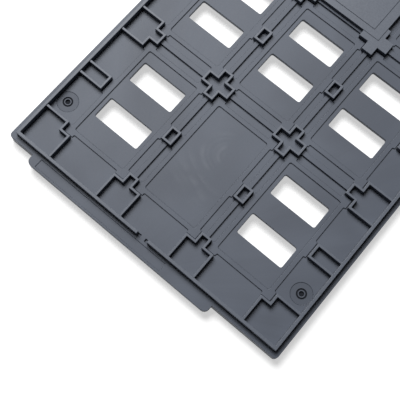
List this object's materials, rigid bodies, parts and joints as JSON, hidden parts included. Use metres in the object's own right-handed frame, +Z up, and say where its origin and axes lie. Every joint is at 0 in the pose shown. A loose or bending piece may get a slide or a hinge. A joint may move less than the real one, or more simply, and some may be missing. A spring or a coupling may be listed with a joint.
{
  "type": "ic matrix tray",
  "caption": "Shallow moulded matrix tray that holds ic packages in a grid of framed, windowed pockets between hollow cross posts, with end tabs and a stacking rim.",
  "frame": {"origin": "centre of the tray's outline, on the surface that the skirt stands on", "axes": "+X along the tray's length, towards the end with the chamfered first-pin corner; +Y across it; +Z up, out of the pockets"},
  "size_m": [0.3226, 0.136, 0.0076],
  "materials": {
    "tray_plastic": "satin moulded, slate grey"
  },
  "bodies": {
    "root": {"tray": "tray_plastic"}
  },
  "joints": []
}
